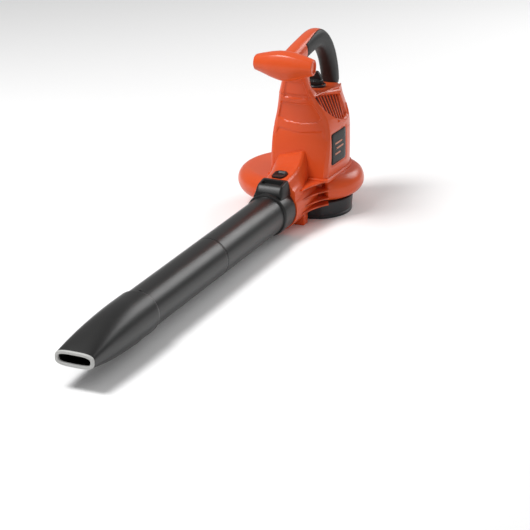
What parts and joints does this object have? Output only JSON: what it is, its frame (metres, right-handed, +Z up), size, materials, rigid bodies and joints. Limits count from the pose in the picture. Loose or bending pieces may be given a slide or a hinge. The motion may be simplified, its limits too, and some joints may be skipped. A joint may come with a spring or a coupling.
{
  "type": "leaf blower",
  "caption": "Corded hand-held leaf blower with volute fan housing, D-loop main handle, front T-handle and pull-off blow tube with flat nozzle.",
  "frame": {"origin": "on the fan and motor axis, on the surface the inlet ring stands on", "axes": "+Z up along the fan axis, -Y along the blow tube towards the nozzle, +X to the operator's left"},
  "size_m": [0.2351, 1.0306, 0.3454],
  "materials": {
    "orange_plastic": "satin moulded orange plastic",
    "black_plastic": "fine-grained black plastic",
    "badge_plastic": "plain gloss black plate",
    "grip_rubber": "soft-touch rubber",
    "lip_plastic": "light grey plastic",
    "electric_plastic": "electrical plastic",
    "steel": "machined steel",
    "aluminium_cast": "cast aluminium",
    "brass_parts": "copper and brass",
    "carbon": "pressed carbon"
  },
  "bodies": {
    "housing": {"fan_housing_top": "orange_plastic", "fan_housing_bottom": "orange_plastic", "inlet_ring": "black_plastic", "inlet_hinge_pin": "steel", "motor_cover_left": "orange_plastic", "motor_cover_right": "orange_plastic", "vent_grille_left": "orange_plastic", "vent_grille_right": "orange_plastic", "badge_left": "badge_plastic", "badge_right": "badge_plastic", "handle_left": "orange_plastic", "handle_right": "orange_plastic", "handle_grip": "grip_rubber", "front_handle": "orange_plastic", "front_handle_caps": "orange_plastic", "power_switch": "electric_plastic", "speed_board": "electric_plastic", "cord_gland": "grip_rubber", "field_core": "steel", "field_windings": "brass_parts", "lower_bracket": "aluminium_cast", "upper_bracket": "aluminium_cast", "lower_bearing": "steel", "upper_bearing": "steel", "brush_holders": "brass_parts", "carbon_brushes": "carbon", "brush_springs": "steel", "button_spring": "steel", "motor_cover_screws": "steel", "bracket_screws": "steel", "fan_housing_screws": "steel", "inlet_ring_screws": "steel"},
    "rotor": {"motor_shaft": "steel", "armature_core": "steel", "commutator": "brass_parts", "cooling_fan": "black_plastic", "impeller": "black_plastic", "impeller_nut": "steel"},
    "power_dial": {"power_dial": "black_plastic"},
    "release_button": {"release_button": "black_plastic"},
    "tube": {"tube_collar": "black_plastic", "blow_tube": "black_plastic"},
    "nozzle": {"nozzle": "black_plastic", "nozzle_lip": "lip_plastic"},
    "inlet_cover": {"inlet_cover": "black_plastic"},
    "inlet_latch": {"inlet_latch": "black_plastic"}
  },
  "joints": [
    {"name": "rotor_spin", "type": "hinge", "parent": "housing", "child": "rotor", "pos_m": [0, 0, 0.1], "axis": [0, 0, 1], "continuous": true},
    {"name": "power_dial_turn", "type": "hinge", "parent": "housing", "child": "power_dial", "pos_m": [0, 0.012, 0.24], "axis": [0, 0, 1], "range_deg": [0, 120]},
    {"name": "release_button_press", "type": "slide", "parent": "housing", "child": "release_button", "axis": [0, 0.1392, -0.9903], "range_m": [0, 0.003], "stiffness_N_per_m": 900, "deforming": ["button_spring"]},
    {"name": "tube_release", "type": "slide", "parent": "housing", "child": "tube", "axis": [0, -1, 0], "range_m": [0, 0.08]},
    {"name": "nozzle_release", "type": "slide", "parent": "tube", "child": "nozzle", "axis": [0, -1, 0], "range_m": [0, 0.06]},
    {"name": "inlet_cover_hinge", "type": "hinge", "parent": "housing", "child": "inlet_cover", "pos_m": [0, 0.067, 0.0042], "axis": [1, 0, 0], "range_deg": [0, 90]},
    {"name": "inlet_latch_slide", "type": "slide", "parent": "inlet_cover", "child": "inlet_latch", "axis": [0, 1, 0], "range_m": [0, 0.004], "stiffness_N_per_m": 300}
  ]
}
